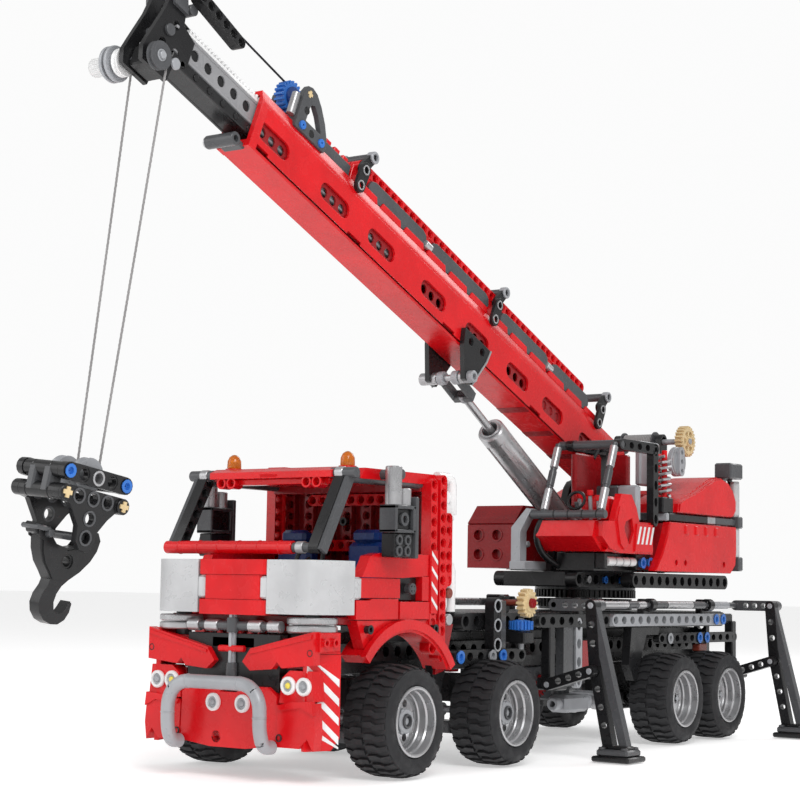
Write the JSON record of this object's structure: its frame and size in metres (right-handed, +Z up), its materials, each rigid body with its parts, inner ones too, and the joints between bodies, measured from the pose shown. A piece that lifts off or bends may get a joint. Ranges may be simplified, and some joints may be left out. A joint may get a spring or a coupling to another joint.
{
  "type": "toy mobile crane truck",
  "caption": "Toy mobile crane truck with steered wheels, fold-out outriggers, slewing upper works, luffing telescopic boom, hoist and hook.",
  "frame": {"origin": "on the ground under the middle of the truck's bounding box", "axes": "+Z up, -Y towards the cab and hook, +X towards the truck's left side"},
  "size_m": [0.1666, 0.4613, 0.2876],
  "materials": {
    "red": "moulded gloss",
    "dark_red": "moulded gloss",
    "black": "moulded gloss",
    "dark_grey": "moulded gloss",
    "light_grey": "moulded gloss",
    "silver": "moulded gloss",
    "white": "moulded gloss",
    "deep_blue": "moulded gloss",
    "blue": "moulded gloss",
    "tan": "moulded gloss",
    "tyre": "matt rubber"
  },
  "bodies": {
    "chassis": {"chassis_frame": "black", "turntable_base": "black", "chassis_side_L": "black", "chassis_side_R": "black", "cab_body": "red", "cab_frame": "dark_grey", "cab_roof": "red", "cab_grille": "red", "cab_corner_L": "white", "cab_corner_R": "white", "seats": "deep_blue", "bumper": "red", "bull_bar": "light_grey"},
    "steering_gear": {"steering_gear": "blue"},
    "knuckle_1L": {"knuckle_1L": "dark_grey"},
    "wheel_1L": {"wheel_1L": "silver", "tyre_1L": "tyre"},
    "knuckle_1R": {"knuckle_1R": "dark_grey"},
    "wheel_1R": {"wheel_1R": "silver", "tyre_1R": "tyre"},
    "knuckle_2L": {"knuckle_2L": "dark_grey"},
    "wheel_2L": {"wheel_2L": "silver", "tyre_2L": "tyre"},
    "knuckle_2R": {"knuckle_2R": "dark_grey"},
    "wheel_2R": {"wheel_2R": "silver", "tyre_2R": "tyre"},
    "axle_3": {"axle_3": "silver", "tyre_3L": "tyre", "tyre_3R": "tyre"},
    "axle_4": {"axle_4": "silver", "tyre_4L": "tyre", "tyre_4R": "tyre"},
    "outrigger_crank": {"outrigger_crank": "tan"},
    "outrigger_arms_L": {"outrigger_arms_L": "dark_grey"},
    "outrigger_leg_FL": {"outrigger_leg_FL": "black"},
    "outrigger_link_FL": {"outrigger_link_FL": "black"},
    "outrigger_leg_RL": {"outrigger_leg_RL": "black"},
    "outrigger_link_RL": {"outrigger_link_RL": "black"},
    "outrigger_arms_R": {"outrigger_arms_R": "dark_grey"},
    "outrigger_leg_FR": {"outrigger_leg_FR": "black"},
    "outrigger_link_FR": {"outrigger_link_FR": "black"},
    "outrigger_leg_RR": {"outrigger_leg_RR": "black"},
    "outrigger_link_RR": {"outrigger_link_RR": "black"},
    "upper_works": {"super_frame": "black", "rear_cover_low": "red", "rear_cover_top": "red", "rear_frame": "dark_grey", "op_cab_body": "red", "op_cab_frame": "dark_grey", "engine_box": "dark_red"},
    "winch_drum": {"winch_drum": "tan"},
    "luff_crank": {"luff_crank": "light_grey"},
    "boom": {"boom_outer": "red"},
    "guide_wheel": {"guide_wheel": "blue"},
    "inner_boom": {"boom_inner": "dark_grey"},
    "tip_sheaves": {"tip_sheaves": "white"},
    "cylinder_barrel": {"cylinder_barrel": "silver"},
    "cylinder_rod": {"cylinder_rod": "silver"},
    "hook_block": {"hook_block": "black"},
    "hook": {"hook": "black"}
  },
  "joints": [
    {"name": "steer", "type": "hinge", "parent": "chassis", "child": "steering_gear", "pos_m": [0.03886, 0.01351, 0.05551], "axis": [0, 0, 1], "range_deg": [-60, 60]},
    {"name": "steer_1L", "type": "hinge", "parent": "chassis", "child": "knuckle_1L", "pos_m": [0.02961, -0.08518, 0.02119], "axis": [0, 0, 1], "range_deg": [-20, 20]},
    {"name": "roll_1L", "type": "hinge", "parent": "knuckle_1L", "child": "wheel_1L", "pos_m": [0.04355, -0.08518, 0.02119], "axis": [1, 0, 0], "continuous": true},
    {"name": "steer_1R", "type": "hinge", "parent": "chassis", "child": "knuckle_1R", "pos_m": [-0.02961, -0.08518, 0.02119], "axis": [0, 0, 1], "range_deg": [-20, 20]},
    {"name": "roll_1R", "type": "hinge", "parent": "knuckle_1R", "child": "wheel_1R", "pos_m": [-0.04355, -0.08518, 0.02119], "axis": [1, 0, 0], "continuous": true},
    {"name": "steer_2L", "type": "hinge", "parent": "chassis", "child": "knuckle_2L", "pos_m": [0.02961, -0.01363, 0.02119], "axis": [0, 0, 1], "range_deg": [-14, 14]},
    {"name": "roll_2L", "type": "hinge", "parent": "knuckle_2L", "child": "wheel_2L", "pos_m": [0.04355, -0.01363, 0.02119], "axis": [1, 0, 0], "continuous": true},
    {"name": "steer_2R", "type": "hinge", "parent": "chassis", "child": "knuckle_2R", "pos_m": [-0.02961, -0.01363, 0.02119], "axis": [0, 0, 1], "range_deg": [-14, 14]},
    {"name": "roll_2R", "type": "hinge", "parent": "knuckle_2R", "child": "wheel_2R", "pos_m": [-0.04355, -0.01363, 0.02119], "axis": [1, 0, 0], "continuous": true},
    {"name": "roll_3", "type": "hinge", "parent": "chassis", "child": "axle_3", "pos_m": [0, 0.13841, 0.02119], "axis": [1, 0, 0], "continuous": true},
    {"name": "roll_4", "type": "hinge", "parent": "chassis", "child": "axle_4", "pos_m": [0, 0.18621, 0.02119], "axis": [1, 0, 0], "continuous": true},
    {"name": "outriggers", "type": "hinge", "parent": "chassis", "child": "outrigger_crank", "pos_m": [0.03701, 0.01351, 0.06538], "axis": [1, 0, 0], "range_deg": [0, 84]},
    {"name": "arms_L", "type": "hinge", "parent": "chassis", "child": "outrigger_arms_L", "pos_m": [0.04071, 0.03448, 0.06476], "axis": [0, -1, 0], "range_deg": [0, 28]},
    {"name": "leg_FL", "type": "hinge", "parent": "outrigger_arms_L", "child": "outrigger_leg_FL", "pos_m": [0.06168, 0.03448, 0.06476], "axis": [0, -1, 0], "range_deg": [-35.6, 0]},
    {"name": "link_FL", "type": "hinge", "parent": "chassis", "child": "outrigger_link_FL", "pos_m": [0.04318, 0.03448, 0.03084], "axis": [0, -1, 0], "range_deg": [0, 30.5]},
    {"name": "leg_RL", "type": "hinge", "parent": "outrigger_arms_L", "child": "outrigger_leg_RL", "pos_m": [0.06168, 0.21829, 0.06476], "axis": [0, -1, 0], "range_deg": [-35.6, 0]},
    {"name": "link_RL", "type": "hinge", "parent": "chassis", "child": "outrigger_link_RL", "pos_m": [0.04318, 0.21829, 0.03084], "axis": [0, -1, 0], "range_deg": [0, 30.5]},
    {"name": "arms_R", "type": "hinge", "parent": "chassis", "child": "outrigger_arms_R", "pos_m": [-0.04071, 0.03448, 0.06476], "axis": [0, 1, 0], "range_deg": [0, 28]},
    {"name": "leg_FR", "type": "hinge", "parent": "outrigger_arms_R", "child": "outrigger_leg_FR", "pos_m": [-0.06168, 0.03448, 0.06476], "axis": [0, 1, 0], "range_deg": [-35.6, 0]},
    {"name": "link_FR", "type": "hinge", "parent": "chassis", "child": "outrigger_link_FR", "pos_m": [-0.04318, 0.03448, 0.03084], "axis": [0, 1, 0], "range_deg": [0, 30.5]},
    {"name": "leg_RR", "type": "hinge", "parent": "outrigger_arms_R", "child": "outrigger_leg_RR", "pos_m": [-0.06168, 0.21829, 0.06476], "axis": [0, 1, 0], "range_deg": [-35.6, 0]},
    {"name": "link_RR", "type": "hinge", "parent": "chassis", "child": "outrigger_link_RR", "pos_m": [-0.04318, 0.21829, 0.03084], "axis": [0, 1, 0], "range_deg": [0, 30.5]},
    {"name": "slew", "type": "hinge", "parent": "chassis", "child": "upper_works", "pos_m": [0, 0.13687, 0.07247], "axis": [0, 0, 1], "continuous": true},
    {"name": "luff", "type": "hinge", "parent": "upper_works", "child": "boom", "pos_m": [0, 0.14674, 0.11843], "axis": [-1, 0, 0], "range_deg": [-7, 40]},
    {"name": "cylinder_swing", "type": "hinge", "parent": "upper_works", "child": "cylinder_barrel", "pos_m": [0, 0.13995, 0.08851], "axis": [-1, 0, 0], "range_deg": [-6.5, 36]},
    {"name": "rod_swing", "type": "hinge", "parent": "boom", "child": "cylinder_rod", "pos_m": [0, 0.01462, 0.16321], "axis": [-1, 0, 0], "range_deg": [-5, 1]},
    {"name": "luff_crank", "type": "hinge", "parent": "upper_works", "child": "luff_crank", "pos_m": [0.02467, 0.17018, 0.13539], "axis": [1, 0, 0], "range_deg": [-25, 125]},
    {"name": "guide_wheel", "type": "hinge", "parent": "boom", "child": "guide_wheel", "pos_m": [0, -0.0996, 0.26366], "axis": [1, 0, 0], "continuous": true},
    {"name": "extend", "type": "slide", "parent": "boom", "child": "inner_boom", "axis": [0, -0.9272, 0.3746], "range_m": [-0.037, 0.098]},
    {"name": "falls_swing", "type": "hinge", "parent": "inner_boom", "child": "tip_sheaves", "pos_m": [0, -0.18755, 0.25755], "axis": [-1, 0, 0], "range_deg": [-40, 7]},
    {"name": "hoist", "type": "slide", "parent": "tip_sheaves", "child": "hook_block", "axis": [0, -0.1478, -0.989], "range_m": [-0.074, 0.046]},
    {"name": "winch", "type": "hinge", "parent": "upper_works", "child": "winch_drum", "pos_m": [0, 0.19362, 0.14742], "axis": [1, 0, 0], "range_deg": [-480, 770]},
    {"name": "hook_swing", "type": "hinge", "parent": "hook_block", "child": "hook", "pos_m": [-0.00206, -0.21632, 0.0867], "axis": [0.9943, -0.0493, -0.0948], "range_deg": [-20, 20]}
  ],
  "couplings": [
    {"joint": "steer_1L", "follows": "steer", "ratio": 0.3333},
    {"joint": "steer_1R", "follows": "steer", "ratio": 0.3333},
    {"joint": "steer_2L", "follows": "steer", "ratio": 0.2333},
    {"joint": "steer_2R", "follows": "steer", "ratio": 0.2333},
    {"joint": "arms_L", "follows": "outriggers", "ratio": 0.3333},
    {"joint": "leg_FL", "follows": "outriggers", "ratio": -0.423},
    {"joint": "link_FL", "follows": "outriggers", "ratio": 0.363},
    {"joint": "leg_RL", "follows": "outriggers", "ratio": -0.423},
    {"joint": "link_RL", "follows": "outriggers", "ratio": 0.363},
    {"joint": "arms_R", "follows": "outriggers", "ratio": 0.3333},
    {"joint": "leg_FR", "follows": "outriggers", "ratio": -0.423},
    {"joint": "link_FR", "follows": "outriggers", "ratio": 0.363},
    {"joint": "leg_RR", "follows": "outriggers", "ratio": -0.423},
    {"joint": "link_RR", "follows": "outriggers", "ratio": 0.363},
    {"joint": "cylinder_swing", "follows": "luff", "ratio": 0.89},
    {"joint": "rod_swing", "follows": "luff", "ratio": -0.11},
    {"joint": "luff_crank", "follows": "luff", "ratio": 3},
    {"joint": "falls_swing", "follows": "luff", "ratio": -1},
    {"joint": "winch", "follows": "hoist", "rad_per_m": -180}
  ]
}
